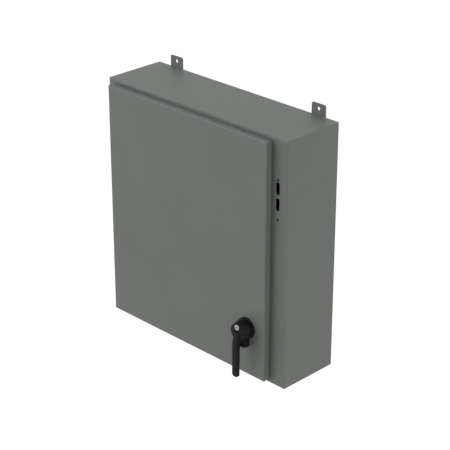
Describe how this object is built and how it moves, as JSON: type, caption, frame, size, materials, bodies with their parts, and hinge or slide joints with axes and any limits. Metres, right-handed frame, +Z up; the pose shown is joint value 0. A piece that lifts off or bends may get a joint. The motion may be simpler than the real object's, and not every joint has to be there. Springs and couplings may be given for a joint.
{
  "type": "steel wall enclosure",
  "caption": "Wall-mounted steel enclosure with one overlapping door, a padlocking lever handle with a rod latch, an inner panel and cut-outs for a switch operator.",
  "frame": {"origin": "centre of the four-hole wall bolt pattern, on the plane of the wall behind the tabs", "axes": "+Y into the wall, +Z up, +X to the right of a person who faces the door"},
  "size_m": [0.7208, 0.282, 0.8304],
  "materials": {
    "enamel": "satin grey powder coat",
    "panel_enamel": "white powder coat",
    "zinc": "zinc plated",
    "seal": "foamed seal",
    "handle_black": "black coated die casting",
    "lock_chrome": "satin chrome",
    "pocket_plastic": "moulded grey plastic"
  },
  "bodies": {
    "enclosure": {"body_wrap": "enamel", "back_sheet": "enamel", "wall_tab_top_left": "enamel", "wall_tab_top_right": "enamel", "wall_tab_bottom_left": "enamel", "wall_tab_bottom_right": "enamel", "panel_studs": "zinc", "inner_panel": "panel_enamel", "panel_washers": "zinc", "panel_nuts": "zinc", "body_earth_stud": "zinc", "body_earth_nut": "zinc", "hinge_frame_leaf_upper": "enamel", "hinge_frame_leaf_lower": "enamel", "hinge_pin_upper": "zinc", "hinge_pin_lower": "zinc"},
    "door": {"door_panel": "enamel", "door_gasket": "seal", "hinge_door_leaf_upper": "enamel", "hinge_door_leaf_lower": "enamel", "upper_rod_guide": "zinc", "lower_rod_guide": "zinc", "drawing_pocket": "pocket_plastic", "door_earth_stud": "zinc", "door_earth_nut": "zinc", "handle_gasket": "seal", "handle_base": "handle_black", "handle_screws": "zinc"},
    "handle": {"handle_lever": "handle_black", "handle_shaft": "zinc", "latch_cam": "zinc", "cam_pins": "zinc", "cam_screw": "zinc"},
    "key": {"lock_cylinder": "lock_chrome"},
    "upper_rod": {"upper_rod": "zinc"},
    "lower_rod": {"lower_rod": "zinc"}
  },
  "joints": [
    {"name": "door_swing", "type": "hinge", "parent": "enclosure", "child": "door", "pos_m": [-0.32925, -0.2231, 0], "axis": [0, 0, -1], "range_deg": [0, 120]},
    {"name": "handle_turn", "type": "hinge", "parent": "door", "child": "handle", "pos_m": [0.2364, -0.232, -0.2179], "axis": [0, 1, 0], "range_deg": [0, 90]},
    {"name": "key_turn", "type": "hinge", "parent": "handle", "child": "key", "pos_m": [0.2364, -0.2714, -0.2022], "axis": [0, 1, 0], "range_deg": [0, 90]},
    {"name": "upper_rod_slide", "type": "slide", "parent": "door", "child": "upper_rod", "axis": [0, 0, 1], "range_m": [0, 0.02828]},
    {"name": "lower_rod_slide", "type": "slide", "parent": "door", "child": "lower_rod", "axis": [0, 0, -1], "range_m": [0, 0.02828]}
  ],
  "couplings": [
    {"joint": "upper_rod_slide", "follows": "handle_turn", "m_per_rad": 0.018006},
    {"joint": "lower_rod_slide", "follows": "handle_turn", "m_per_rad": 0.018006}
  ]
}
